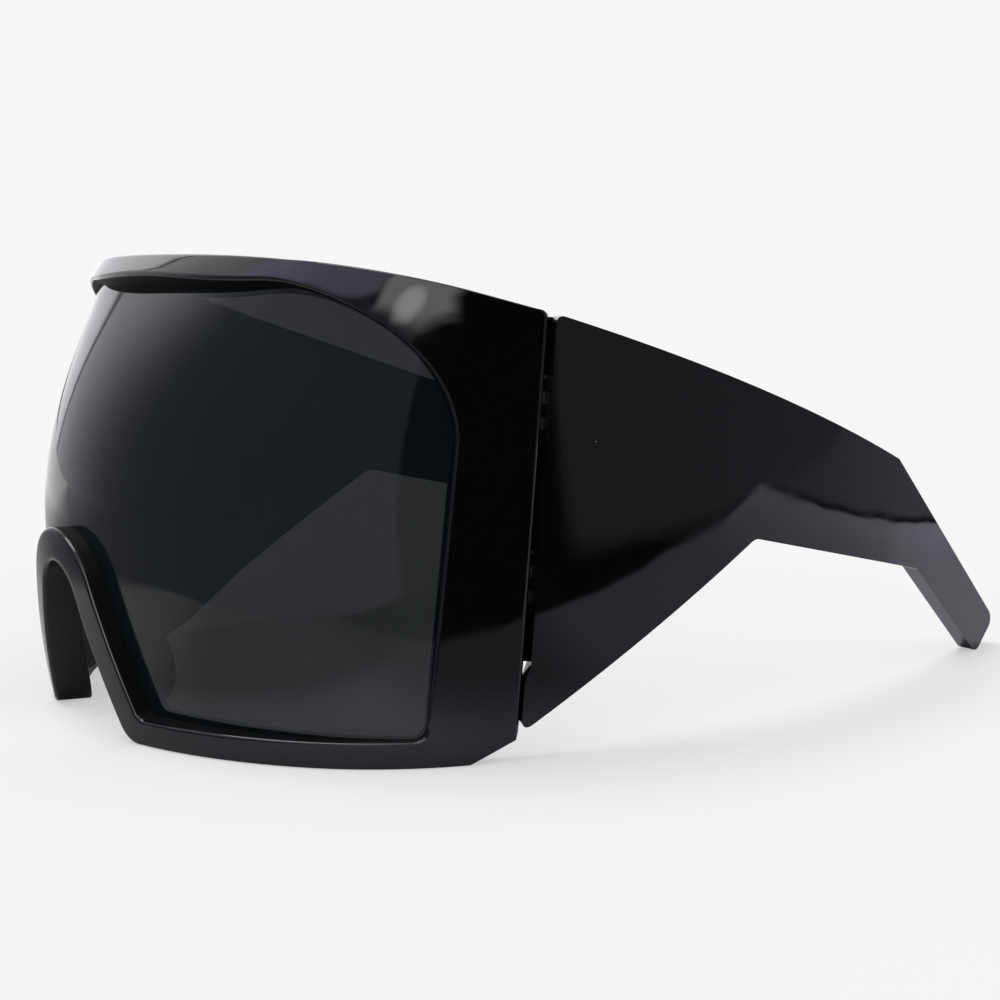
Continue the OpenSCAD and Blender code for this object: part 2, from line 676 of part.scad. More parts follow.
placed() front_frame();
placed() lens();
placed() nose_pad_left();
placed() nose_pad_right();
placed() temple_left();
placed() temple_right();
placed() leaf_at(1, -1);  // upper_front_leaf_left
placed() leaf_at(1, 1);  // upper_temple_leaf_left
placed() hinge_screw_at(1);  // upper_hinge_screw_left
placed() leaf_at(-1, -1);  // lower_front_leaf_left
placed() leaf_at(-1, 1);  // lower_temple_leaf_left
placed() hinge_screw_at(-1);  // lower_hinge_screw_left
placed() other_side(true) leaf_at(1, -1);  // upper_front_leaf_right
placed() other_side(true) leaf_at(1, 1);  // upper_temple_leaf_right
placed() other_side(true) hinge_screw_at(1);  // upper_hinge_screw_right
placed() other_side(true) leaf_at(-1, -1);  // lower_front_leaf_right
placed() other_side(true) leaf_at(-1, 1);  // lower_temple_leaf_right
placed() other_side(true) hinge_screw_at(-1);  // lower_hinge_screw_right
placed() color(metal) leaf_screws(-1);  // front_leaf_screws_left
placed() color(metal) leaf_screws(1);  // temple_leaf_screws_left
placed() other_side(true) color(metal) leaf_screws(-1);  // front_leaf_screws_right
placed() other_side(true) color(metal) leaf_screws(1);  // temple_leaf_screws_right
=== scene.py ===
"""Oversized shield sunglasses: gloss black front and temples, smoked lens and small steel hinges."""

import math

import bmesh
import bpy
from mathutils import Matrix, Vector


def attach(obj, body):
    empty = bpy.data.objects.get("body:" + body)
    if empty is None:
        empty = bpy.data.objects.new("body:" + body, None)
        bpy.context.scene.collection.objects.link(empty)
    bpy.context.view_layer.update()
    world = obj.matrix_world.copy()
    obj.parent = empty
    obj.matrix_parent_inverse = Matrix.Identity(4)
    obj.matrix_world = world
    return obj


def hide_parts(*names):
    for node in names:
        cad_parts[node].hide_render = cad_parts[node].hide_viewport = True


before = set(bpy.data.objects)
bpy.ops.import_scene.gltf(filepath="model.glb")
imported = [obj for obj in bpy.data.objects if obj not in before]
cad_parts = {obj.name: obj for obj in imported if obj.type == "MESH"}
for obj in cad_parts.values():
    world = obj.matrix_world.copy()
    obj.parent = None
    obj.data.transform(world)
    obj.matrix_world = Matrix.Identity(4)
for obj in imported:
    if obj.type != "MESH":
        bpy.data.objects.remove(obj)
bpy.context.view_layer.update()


def deg(angle):
    return math.radians(angle)


MM = 0.001
QUARTER = math.pi / 2
# Points closer than this are merged, and points this near a cut lie on it
MERGE = 0.001 * MM
SNAP = 0.01 * MM
# Edges sharper than the first stay sharp, and edges of a temple sharper than the second are rounded
SHARP_ANGLE = deg(35)
ROUNDED_ANGLE = deg(40)

# Skin of the front: three arcs in plan, with an upright bulge that fades towards the sides
FRONT_R = 80.2 * MM
FRONT_TURN = deg(40)
CORNER_R = 58.6 * MM
SIDE_TURN = deg(76)
SIDE_R = 180 * MM
BULGE_R = 60 * MM
FOOT_BULGE_R = 174 * MM
BULGE_FADE = 1.45
APEX_Z = 35.8 * MM
BROW_Z = 95.3 * MM
BROW_SLOPE = deg(16.4)
MID_T = 7.5 * MM
SIDE_T = 4 * MM
EDGE_R = 0.7 * MM
BACK_EDGE_R = 0.4 * MM
# Height under which the wall of the front levels out towards the floor
LEVEL_Z = 5 * MM
# Lean of the brow at its top edge, how far down the face it fades, and over which share of its length
BROW_LEAN = deg(11)
BROW_REACH = 14 * MM
BROW_END = 0.25

# Opening of the lens, rim and nose notch, as flat outlines on the skin
BROW_BAND = 4.3 * MM
OPENING_DROP = 1.1 * MM
OPENING_HALF_W = 82.4 * MM
OPENING_LEAN = deg(7.3)
CORNER_W = 39.6 * MM
CORNER_H = 27.1 * MM
OPENING_FOOT_R = 2.5 * MM
RIM_W = 4.8 * MM
NOSE_BAND = 6.4 * MM
NOTCH_R = 9 * MM
NOTCH_Z = 22.4 * MM
NOTCH_LEAN = deg(23.6)
NOTCH_FOOT_R = 5 * MM

# Lens and its groove
LENS_T = 2 * MM
MID_RECESS = 3.6 * MM
SIDE_RECESS = 0.9 * MM
GROOVE_D = 1.3 * MM
LENS_FIT = 0.1 * MM

# Nose pads
PAD_L = 19 * MM
PAD_W = 4.4 * MM
PAD_D = 5.5 * MM
PAD_SPLAY = deg(24)
PAD_GAP = 0.05 * MM

# Seam between the front and the temples
SEAM_Y = 55.3 * MM
SEAM_LEAN = deg(5.6)
SEAM_GAP = 0.6 * MM
HINGE_GAP = 1.5 * MM
SEAM_MITRE = deg(22)
HEEL_L = 8 * MM
HEEL_H = 3.6 * MM
LIP_T = 0.5 * MM
LIP_EDGE_R = 0.1 * MM
LIP_AIR = 0.4 * MM
LIP_REACH = 1 * MM
LIP_FOOT_Z = 16.5 * MM
LIP_TOP_DROP = 0.9 * MM
SEAM_CORNER_R = 1.2 * MM
RAMP_H = 3 * MM

# Hinges, as far as the lip and the seam follow them
UPPER_HINGE_Z = 60 * MM
LOWER_HINGE_Z = 30 * MM
KNUCKLE_R = 1.7 * MM
LEAF_SINK = 0.35 * MM
LEAF_GAP = 0.35 * MM

# Temples, seen from the side
TEMPLE_L = 94.4 * MM
BEND_Z = 44.6 * MM
TOP_BOW = 1 * MM
TOE_Z = 4.4 * MM
CROOK_L = 50.5 * MM
CROOK_Z = 34.1 * MM
ELBOW_L = 101.7 * MM
ELBOW_Z = 21.6 * MM
TIP_RUN = 25.7 * MM
TIP_END_L = 8 * MM
TIP_END_H = 5.7 * MM
TEMPLE_CORNER_R = 2.4 * MM
TEMPLE_EDGE_R = 0.45 * MM
SLICE = 1.5 * MM
MITRE_REACH = 12 * MM
TEMPLE_TOP_N = 12

# Plan of the skin
MIDDLE_END = Vector((FRONT_R * math.sin(FRONT_TURN), FRONT_R * (1 - math.cos(FRONT_TURN))))
CORNER_END = MIDDLE_END + CORNER_R * Vector((
    math.sin(SIDE_TURN) - math.sin(FRONT_TURN), math.cos(FRONT_TURN) - math.cos(SIDE_TURN)))
SIDE_CENTRE = CORNER_END + SIDE_R * Vector((-math.sin(SIDE_TURN), math.cos(SIDE_TURN)))
MIDDLE_LEN = FRONT_R * FRONT_TURN
CORNER_LEN = CORNER_R * (SIDE_TURN - FRONT_TURN)


def turn(u):
    """Angle of the skin at a flat distance u from the centre."""
    if u < MIDDLE_LEN:
        return u / FRONT_R
    if u < MIDDLE_LEN + CORNER_LEN:
        return FRONT_TURN + (u - MIDDLE_LEN) / CORNER_R
    return SIDE_TURN + (u - MIDDLE_LEN - CORNER_LEN) / SIDE_R


def plan(a):
    if a < FRONT_TURN:
        return FRONT_R * Vector((math.sin(a), 1 - math.cos(a)))
    if a < SIDE_TURN:
        return MIDDLE_END + CORNER_R * Vector((
            math.sin(a) - math.sin(FRONT_TURN), math.cos(FRONT_TURN) - math.cos(a)))
    return CORNER_END + SIDE_R * Vector((
        math.sin(a) - math.sin(SIDE_TURN), math.cos(SIDE_TURN) - math.cos(a)))


def fade(a):
    """Share of the bulge that is left at the angle a."""
    return math.cos(QUARTER * a / SIDE_TURN) ** BULGE_FADE if a < SIDE_TURN else 0


def skin(u, z, depth):
    """Point at flat distance u, height z and a depth under the face, on the side where x is positive."""
    a = turn(u)
    p = plan(a)
    bulge = FOOT_BULGE_R if z < APEX_Z else BULGE_R
    slope = fade(a) * (z - APEX_Z) / bulge
    lean = math.hypot(1, slope)
    inset = fade(a) * (z - APEX_Z) ** 2 / (2 * bulge) + depth / lean
    level = min(z / LEVEL_Z, 1)
    return Vector((p.x - math.sin(a) * inset, p.y + math.cos(a) * inset, z - level * depth * slope / lean))


def brow_at(u):
    a = turn(u)
    s = math.tan(BROW_SLOPE)
    k = s * math.cos(a) * fade(a) / (2 * BULGE_R)
    rise = BROW_Z - s * plan(a).y - APEX_Z
    return APEX_Z + 2 * rise / (1 + math.sqrt(1 + 4 * k * rise))


def side_angle(y):
    return math.acos(math.cos(SIDE_TURN) - (y - CORNER_END.y) / SIDE_R)


def seam_at(z, depth):
    """Flat distance of the seam, which slants through the wall."""
    y = SEAM_Y + z * math.tan(SEAM_LEAN)
    return MIDDLE_LEN + CORNER_LEN + SIDE_R * (side_angle(y) - SIDE_TURN) + depth * math.tan(SEAM_MITRE)


def front_t(u):
    return SIDE_T + (MID_T - SIDE_T) * fade(turn(u))


def recess(u):
    return SIDE_RECESS + (MID_RECESS - SIDE_RECESS) * fade(turn(u))


SEAM_TOP = brow_at(seam_at(brow_at(seam_at(BROW_Z, 0)), 0))


def flank_u(z, r):
    return (r + (NOTCH_Z - z) * math.sin(NOTCH_LEAN)) / math.cos(NOTCH_LEAN)


def arch_pt(t, r):
    return Vector((r * math.sin(t), NOTCH_Z + r * math.cos(t)))


def run(p, q, n):
    """n points from p towards q, leaving out q."""
    return [p + (q - p) * i / n for i in range(n)]


def foot(z, r, round_r, n):
    """Rounded corner between the floor line at height z and a flank, with its end."""
    centre = Vector((flank_u(z + round_r, r) + round_r / math.cos(NOTCH_LEAN), z + round_r))
    turns = [(QUARTER - NOTCH_LEAN) * i / n for i in range(n + 1)]
    return [centre - round_r * Vector((math.sin(t), math.cos(t))) for t in turns]


# Stations round half of the front, from the top centre to the top of the notch
FINE = 4
TOP_N = 20 * FINE
CORNER_N = 6
SEAM_N = 14 * FINE
HEEL_N = 2 * FINE
FLOOR_N = 14 * FINE
FOOT_N = 5 * FINE
FLANK_N = 5 * FINE
ARCH_N = 8 * FINE
HALF_N = TOP_N + CORNER_N + SEAM_N + HEEL_N + FLOOR_N + FOOT_N + FLANK_N + ARCH_N
# How far round the opening's top corner the top stations go, then the corner's, and how many of the seam's
TOP_TURN = deg(50)
CORNER_TURN = deg(4)
BEND_SEAM_N = 4 * FINE


def arch(r):
    return [arch_pt((QUARTER - NOTCH_LEAN) * (1 - i / ARCH_N), r) for i in range(ARCH_N + 1)]


def outer_outline():
    """Outer edge of half the front: a flat point for each station, and whether it is measured from the seam."""
    seam_u = seam_at(SEAM_TOP, 0)
    heel_u = seam_at(0, 0)
    corner = foot(0, NOTCH_R, NOTCH_FOOT_R, FOOT_N)
    top_end = seam_u - SEAM_CORNER_R
    top = [Vector((top_end * i / TOP_N, brow_at(top_end * i / TOP_N))) for i in range(TOP_N)]
    rise = (brow_at(top_end) - SEAM_TOP) / SEAM_CORNER_R
    turns = [QUARTER * i / CORNER_N for i in range(CORNER_N)]
    offsets = [(1 - math.sin(t), 1 - math.cos(t)) for t in turns]
    seam = [Vector((-x, SEAM_TOP / SEAM_CORNER_R + rise * x - z)) * SEAM_CORNER_R for x, z in offsets]
    seam += run(Vector((0, SEAM_TOP - SEAM_CORNER_R)), Vector((0, HEEL_H)), SEAM_N)
    heel_end = Vector((heel_u - HEEL_L, 0))
    heel = run(Vector((seam_at(HEEL_H, 0), HEEL_H)), heel_end, HEEL_N)
    floor = run(heel_end, corner[0], FLOOR_N)
    flank = run(corner[-1], arch_pt(QUARTER - NOTCH_LEAN, NOTCH_R), FLANK_N)
    rows = [(top, False), (seam, True), (heel + floor + corner[:-1] + flank + arch(NOTCH_R), False)]
    return [(p, on_seam) for points, on_seam in rows for p in points]


def inner_outline():
    """Edge of the opening, with as many stations."""
    top = brow_at(0) - BROW_BAND
    corner_z = top - OPENING_DROP - CORNER_H
    side = lambda z: OPENING_HALF_W + z * math.tan(OPENING_LEAN)
    corner_u = side(corner_z) - CORNER_W
    straight_n = round(TOP_N * corner_u / seam_at(SEAM_TOP, 0))
    bend = lambda t: Vector((corner_u + CORNER_W * math.sin(t), corner_z + CORNER_H * math.cos(t)))
    open_r = NOTCH_R + NOSE_BAND
    foot_z = RIM_W + OPENING_FOOT_R
    foot_u = side(foot_z)
    corner = foot(RIM_W, open_r, OPENING_FOOT_R, FOOT_N)
    bend_n = TOP_N - straight_n
    upper = []
    for i in range(straight_n):
        f = i / straight_n
        upper.append(Vector((corner_u * f, top - OPENING_DROP * (1 - math.cos(math.pi * f)) / 2)))
    upper += [bend(TOP_TURN * i / bend_n) for i in range(bend_n)]
    upper += [bend(TOP_TURN + CORNER_TURN * i / CORNER_N) for i in range(CORNER_N)]
    rest = QUARTER - TOP_TURN - CORNER_TURN
    upper += [bend(TOP_TURN + CORNER_TURN + rest * i / BEND_SEAM_N) for i in range(BEND_SEAM_N)]
    upper += run(bend(QUARTER), Vector((foot_u, foot_z)), SEAM_N - BEND_SEAM_N)
    turns = [QUARTER * i / HEEL_N for i in range(HEEL_N)]
    centre = Vector((foot_u - OPENING_FOOT_R, foot_z))
    lower = [centre + OPENING_FOOT_R * Vector((math.cos(t), -math.sin(t))) for t in turns]
    lower += run(Vector((centre.x, RIM_W)), corner[0], FLOOR_N) + corner[:-1]
    lower += run(corner[-1], arch_pt(QUARTER - NOTCH_LEAN, open_r), FLANK_N) + arch(open_r)
    return upper + lower


OUTER = outer_outline()
INNER = inner_outline()
TIP_FOOT_Y = SEAM_Y + ELBOW_L + TIP_RUN
TIP_BACK_Y = TIP_FOOT_Y + TIP_END_L - TEMPLE_CORNER_R
MID_Y = (skin(0, NOTCH_Z + NOTCH_R, 0).y + EDGE_R + TIP_BACK_Y) / 2
PLACE = Matrix.Translation((0, -MID_Y, 0))


def outer_at(i, depth):
    p, on_seam = OUTER[i]
    return Vector((seam_at(p.y, depth) + p.x, p.y)) if on_seam else p


def outward(i, inset):
    """Point outside the opening's edge, inside the wall of the rim."""
    edge = INNER[i]
    return edge + (outer_at(i, 0) - edge).normalized() * inset


def crown(d):
    """Depth by which the brow leans back at a distance d under its top edge."""
    return math.tan(BROW_LEAN) * max(BROW_REACH - d, 0) ** 2 / (2 * BROW_REACH)


def brow_share(i):
    """1 over the brow, fading out before the seam."""
    return min(max((1 - i / TOP_N) / BROW_END, 0), 1)


def mirrored(p, column):
    return Vector((-p.x, p.y, p.z)) if column < 0 else p


# Rows across the front, round each edge and between the roundings, and rows across the lens
ROUND_N = 5
FACE_N = 6
LENS_N = 24


# Meshes
def sheet(columns, rows):
    """Open grid whose vertices keep their column and their share of the way across."""
    bm = bmesh.new()
    bmesh.ops.create_grid(bm, x_segments=columns, y_segments=rows, size=1)
    column = bm.verts.layers.float.new("column")
    share = bm.verts.layers.float.new("share")
    level = bm.verts.layers.float.new("level")
    sunk = bm.verts.layers.float.new("sunk")
    for v in bm.verts:
        v[column] = round(v.co.x * columns / 2)
        v[share] = (v.co.y + 1) / 2
    return bm, (column, share, level, sunk)


def thicken(bm, level):
    """Extrudes the whole sheet, and marks the copies as the back."""
    made = bmesh.ops.extrude_face_region(bm, geom=bm.faces[:])
    for v in made["geom"]:
        if isinstance(v, bmesh.types.BMVert):
            v[level] = 1


def finish_piece(name, bm, body, node, material):
    """Turns a bmesh, with y from the front's middle, into a piece that stands for a CAD node."""
    bmesh.ops.recalc_face_normals(bm, faces=bm.faces)
    bm.transform(PLACE)
    for f in bm.faces:
        f.smooth = True
    mesh = bpy.data.meshes.new(name)
    bm.to_mesh(mesh)
    bm.free()
    mesh.set_sharp_from_angle(angle=SHARP_ANGLE)
    mesh.materials.append(material)
    piece = bpy.data.objects.new(name, mesh)
    bpy.context.scene.collection.objects.link(piece)
    normals = piece.modifiers.new("weighted_normals", "WEIGHTED_NORMAL")
    normals.keep_sharp = True
    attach(piece, body)
    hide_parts(node)
    return piece


def seam_matrix():
    """Frame of the hinges: x out of the wall, y back along it, z up the seam."""
    hinge_z = (UPPER_HINGE_Z + LOWER_HINGE_Z) / 2
    at = lambda z: skin(seam_at(z, 0), z, 0)
    up = (at(UPPER_HINGE_Z) - at(LOWER_HINGE_Z)).normalized()
    lean_out = Matrix.Rotation(math.atan2(up.x, up.z), 4, "Y")
    lean_back = Matrix.Rotation(-math.asin(up.y), 4, "X")
    yaw = Matrix.Rotation(turn(seam_at(hinge_z, 0)) - QUARTER, 4, "Z")
    return Matrix.Translation(at(hinge_z)) @ lean_out @ lean_back @ yaw, up, hinge_z


def add_block(bm, low, high, matrix, bevel):
    made = bmesh.ops.create_cube(bm, size=1)["verts"]
    size = high - low
    bmesh.ops.scale(bm, vec=size, verts=made)
    bmesh.ops.translate(bm, vec=(low + high) / 2, verts=made)
    edges = list({e for v in made for e in v.link_edges})
    rounded = bmesh.ops.bevel(bm, geom=edges, offset=bevel, segments=2, profile=0.5, affect="EDGES",
                              material=-1)
    verts = list({v for f in rounded["faces"] for v in f.verts} | {v for v in made if v.is_valid})
    bmesh.ops.transform(bm, matrix=matrix, verts=verts)


def add_lips(bm):
    """Lip along each end of the front: it stands off the wall and reaches behind the gap."""
    matrix, up, hinge_z = seam_matrix()
    low = (LIP_FOOT_Z - hinge_z) / up.z
    high = (SEAM_TOP - LIP_TOP_DROP - hinge_z) / up.z
    axis_y = SIDE_T * math.tan(SEAM_MITRE) + HINGE_GAP / 2
    far = KNUCKLE_R + LEAF_GAP
    near = HINGE_GAP / 2 + LEAF_SINK
    back = -SIDE_T - LIP_AIR - LIP_T
    strip = (Vector((back, axis_y - far, low)), Vector((back + LIP_T, axis_y + LIP_REACH, high)))
    web = (Vector((back, axis_y - far, low)), Vector((-SIDE_T + LEAF_SINK, axis_y - near, high)))
    for mirror in (Matrix.Identity(4), Matrix.Scale(-1, 4, (1, 0, 0))):
        for lowest, highest in (strip, web):
            add_block(bm, lowest, highest, mirror @ matrix, LIP_EDGE_R)


def front_frame(material, wall_material):
    """The front: a ring of rows from its outer edge to the opening, with the lens groove in its wall."""
    rows = 2 * ROUND_N + FACE_N
    bm, (column, share, level, sunk) = sheet(2 * HALF_N, rows)
    thicken(bm, level)

    def on_wall(e):
        return all(v[share] == 1 for v in e.verts) and e.verts[0][level] != e.verts[1][level]

    bmesh.ops.subdivide_edges(bm, edges=[e for e in bm.edges if on_wall(e)], cuts=2, use_grid_fill=True)
    groove = [f for f in bm.faces if all(0 < v[level] < 1 for v in f.verts)]
    for g in bmesh.ops.extrude_face_region(bm, geom=groove)["geom"]:
        if isinstance(g, bmesh.types.BMVert):
            g[sunk] = 1

    def face_place(i, row, radius, back):
        """Flat point and depth of a row of the face or the back, rounded at both of its edges."""
        step = min(row, rows - row, ROUND_N)
        t = QUARTER * step / ROUND_N
        sink = radius * (1 - math.sin(t))
        edge = INNER[i]
        outer = outer_at(i, front_t(edge.x) - sink if back else sink)
        across = (edge - outer).normalized() * radius
        if row <= ROUND_N:
            p = outer + across * (1 - math.cos(t))
        elif row >= rows - ROUND_N:
            p = edge - across * (1 - math.cos(t))
        else:
            p = outer + across + (edge - outer - 2 * across) * (row - ROUND_N) / FACE_N
        if back:
            return p, front_t(p.x) - sink
        lean = crown(brow_at(p.x) - p.y) - crown(brow_at(edge.x) - edge.y)
        return p, sink + lean * brow_share(i)

    def place(v):
        i = min(abs(round(v[column])), HALF_N)
        if 0 < v[level] < 1:
            p = outward(i, GROOVE_D) if v[sunk] else INNER[i]
            depth = recess(p.x) if v[level] < 0.5 else recess(p.x) + LENS_T + LENS_FIT
        else:
            back = v[level] == 1
            p, depth = face_place(i, round(v[share] * rows), BACK_EDGE_R if back else EDGE_R, back)
        return mirrored(skin(p.x, p.y, depth), v[column])

    for v in bm.verts:
        v.co = place(v)
    # The two ends of the ring meet over the nose, and their end walls go
    ends = [f for f in bm.faces if all(abs(v[column]) == HALF_N for v in f.verts)]
    bmesh.ops.delete(bm, geom=ends, context="FACES_ONLY")
    bmesh.ops.remove_doubles(bm, verts=bm.verts, dist=MERGE)
    # The wall of the opening is less polished than the face
    for f in bm.faces:
        f.material_index = int(all(v[share] == 1 for v in f.verts))
    add_lips(bm)
    shell = finish_piece("front_shell", bm, "front", "front_frame", material)
    shell.data.materials.append(wall_material)


def lens(material):
    """The lens: its edge lies in the groove all round."""
    upper_n = TOP_N + CORNER_N + SEAM_N
    bm, (column, share, level, _) = sheet(2 * upper_n, LENS_N)
    thicken(bm, level)

    def place(v):
        i = abs(round(v[column]))
        j = HALF_N - i
        k = round(v[share] * LENS_N)
        in_groove = {0: i, LENS_N: j}
        if i == upper_n or k in in_groove:
            p = outward(in_groove.get(k, i), GROOVE_D - LENS_FIT)
        else:
            p = INNER[i] + (INNER[j] - INNER[i]) * (k - 1) / (LENS_N - 2)
        return mirrored(skin(p.x, p.y, recess(p.x) + LENS_FIT / 2 + LENS_T * v[level]), v[column])

    for v in bm.verts:
        v.co = place(v)
    bmesh.ops.remove_doubles(bm, verts=bm.verts, dist=MERGE)
    bmesh.ops.dissolve_degenerate(bm, edges=bm.edges, dist=MERGE)
    finish_piece("smoked_shield", bm, "front", "lens", material)


def nose_pad(side, material):
    """A bean bonded behind the notch's flank, flat where it meets the rim."""
    bm = bmesh.new()
    bmesh.ops.create_uvsphere(bm, u_segments=36, v_segments=24, radius=1)
    middle = NOTCH_FOOT_R + PAD_L / 2 * math.cos(NOTCH_LEAN)
    for v in bm.verts:
        z = middle + PAD_L / 2 * v.co.z * math.cos(NOTCH_LEAN)
        depth = PAD_D * max(v.co.y, 0)
        across = PAD_W / 2 * v.co.x + depth * math.tan(PAD_SPLAY)
        u = flank_u(z, NOTCH_R + NOSE_BAND / 2) + across / math.cos(NOTCH_LEAN)
        p = skin(u, z, front_t(u) + PAD_GAP + depth)
        v.co = Vector((side * p.x, p.y, p.z))
    name = "left" if side > 0 else "right"
    finish_piece("nose_cushion_" + name, bm, "front", "nose_pad_" + name, material)


# Temples
BEND_Y = SEAM_Y + TEMPLE_L
BEND_ANGLE = math.asin((BEND_Y - SIDE_CENTRE.y) / SIDE_R)


def wall_x(y, depth):
    """Distance of the temple's wall from the middle: the side arc, then straight on past the bend."""
    r = SIDE_R - depth
    rise = y - SIDE_CENTRE.y
    bend_rise = r * math.sin(BEND_ANGLE)
    if rise < bend_rise:
        return SIDE_CENTRE.x + math.sqrt(r * r - rise * rise)
    return SIDE_CENTRE.x + r * math.cos(BEND_ANGLE) - (rise - bend_rise) * math.tan(BEND_ANGLE)


def seam_line(z):
    """How far back the temple's front edge is at height z: the gap widens at the foot of the lip."""
    wide = min(max((z - LIP_FOOT_Z + RAMP_H) / RAMP_H, 0), 1)
    return SEAM_Y + z * math.tan(SEAM_LEAN) + SEAM_GAP + (HINGE_GAP - SEAM_GAP) * wide


def temple_outline():
    """Corners of the side view, each with the radius of its rounding."""
    seam_top_y = SEAM_Y + SEAM_TOP * math.tan(SEAM_LEAN)
    toe_y = SEAM_Y + TOE_Z * math.tan(SEAM_LEAN)
    crook = Vector((SEAM_Y + CROOK_L, CROOK_Z))
    elbow = Vector((SEAM_Y + ELBOW_L, ELBOW_Z))
    bend = Vector((BEND_Y, BEND_Z))
    tip_end = Vector((TIP_FOOT_Y + TIP_END_L, TIP_END_H))
    to_elbow = Vector((-TIP_RUN, ELBOW_Z)).normalized()
    to_tip = Vector((TIP_END_L, TIP_END_H)).normalized()
    half = to_elbow.angle(to_tip) / 2
    tip_z = TEMPLE_CORNER_R - TEMPLE_CORNER_R / math.sin(half) * (to_elbow + to_tip).normalized().y
    top = []
    for i in range(TEMPLE_TOP_N):
        f = i / TEMPLE_TOP_N
        y = seam_top_y + (BEND_Y - seam_top_y) * f
        z = SEAM_TOP + (BEND_Z - SEAM_TOP) * f + 4 * TOP_BOW * f * (1 - f)
        top.append(Vector((y, z)))
    # The seam's top corner slides down the top edge to the temple's side of the gap
    first = top[0]
    slope = (top[1].y - first.y) / (top[1].x - first.x)
    top[0] = Vector((first.x + HINGE_GAP, first.y + slope * HINGE_GAP))
    belly = (crook.y - TOE_Z) / (crook.x - toe_y)
    toe_line = seam_line(TOE_Z)
    toe = Vector((toe_line, TOE_Z + belly * (toe_line - toe_y)))
    seam = [Vector((seam_line(z), z)) for z in (LIP_FOOT_Z - RAMP_H, LIP_FOOT_Z)]
    corners = [(p, TEMPLE_CORNER_R) for p in (bend, tip_end, Vector((TIP_FOOT_Y, tip_z)), elbow, crook)]
    return ([(top[0], SEAM_CORNER_R)] + [(p, 0) for p in top[1:]] + corners
            + [(toe, SEAM_CORNER_R)] + [(p, 0) for p in seam])


def temple(side, material):
    """A temple: its side view is filled, rounded at the corners, sliced, thickened and bent to the wall."""
    bm = bmesh.new()
    level = bm.verts.layers.float.new("level")
    outline = temple_outline()
    verts = [bm.verts.new((0, p.x, p.y)) for p, _ in outline]
    bm.faces.new(verts)
    count = len(verts)
    for i, (p, radius) in enumerate(outline):
        if radius:
            before = outline[i - 1][0] - p
            after = outline[(i + 1) % count][0] - p
            tangent = radius / math.tan(before.angle(after) / 2)
            bmesh.ops.bevel(bm, geom=[verts[i]], offset=tangent, segments=8, profile=0.5, affect="VERTICES",
                            material=-1)
    low, high = SEAM_Y, TIP_BACK_Y + TEMPLE_CORNER_R
    for k in range(1, int((high - low) / SLICE)):
        bmesh.ops.bisect_plane(bm, geom=bm.verts[:] + bm.edges[:] + bm.faces[:], dist=SNAP,
                               plane_co=(0, low + k * SLICE, 0), plane_no=(0, 1, 0))
    thicken(bm, level)
    mitre = SIDE_T * math.tan(SEAM_MITRE)
    for v in bm.verts:
        y, z = v.co.y, v.co.z
        if v[level]:
            y += mitre * min(max(1 - (y - seam_line(z)) / MITRE_REACH, 0), 1)
        v.co = Vector((side * wall_x(y, SIDE_T * v[level]), y, z))
    bmesh.ops.recalc_face_normals(bm, faces=bm.faces)
    rims = [e for e in bm.edges if e.verts[0][level] == e.verts[1][level]]
    edges = [e for e in rims if e.calc_face_angle(0) > ROUNDED_ANGLE]
    bmesh.ops.bevel(bm, geom=edges, offset=TEMPLE_EDGE_R, offset_type="OFFSET", segments=4, profile=0.5,
                    affect="EDGES", material=-1, clamp_overlap=True, loop_slide=True)
    name = "left" if side > 0 else "right"
    finish_piece("temple_arm_" + name, bm, name + "_temple", "temple_" + name, material)


# Materials
class Value:
    """A number socket of a shader, on which Python's operators add Math nodes."""

    def __init__(self, shader, socket):
        self.shader = shader
        self.socket = socket

    def calc(self, operation, first, second):
        made = self.shader.node("ShaderNodeMath", {"operation": operation}, {0: first, 1: second})
        return Value(self.shader, made.outputs[0])

    def __add__(self, other):
        return self.calc("ADD", self, other)

    def __mul__(self, other):
        return self.calc("MULTIPLY", self, other)

    def __sub__(self, other):
        return self.calc("SUBTRACT", self, other)

    def __rsub__(self, other):
        return self.calc("SUBTRACT", other, self)

    __radd__ = __add__
    __rmul__ = __mul__


class Shader:
    """Adds nodes to one tree: a type, its settings, and the values or links of its sockets."""

    def __init__(self, tree):
        self.tree = tree
        tree.nodes.clear()

    def node(self, kind, settings=None, inputs=None):
        made = self.tree.nodes.new(kind)
        for name, value in (settings or {}).items():
            setattr(made, name, value)
        for name, value in (inputs or {}).items():
            self.put(made.inputs[name], value)
        return made

    def put(self, socket, value):
        if isinstance(value, Value):
            value = value.socket
        if isinstance(value, bpy.types.NodeSocket):
            self.tree.links.new(value, socket)
        elif isinstance(value, tuple) and len(socket.default_value) == 4:
            socket.default_value = (*value, 1)
        else:
            socket.default_value = value

    def value(self, kind, settings=None, inputs=None, output=0):
        return Value(self, self.node(kind, settings, inputs).outputs[output])

    def ramp(self, value, low, high):
        """0 below low, 1 above high."""
        return self.value("ShaderNodeMapRange", {"clamp": True, "interpolation_type": "SMOOTHSTEP"},
                          {"Value": value, "From Min": low, "From Max": high})

    def band(self, value, start, end):
        """1 between start and end, each of them a pair of values over which it changes."""
        return self.ramp(value, *start) * (1 - self.ramp(value, *end))

    def mixed(self, factor, first, second):
        """Mix of two colours by a factor."""
        made = self.node("ShaderNodeMix", {"data_type": "RGBA"}, {0: factor, 6: first, 7: second})
        return made.outputs[2]

    def rgb(self, red, green, blue):
        """Colour of three numbers."""
        return self.node("ShaderNodeCombineColor", None, {0: red, 1: green, 2: blue}).outputs[0]


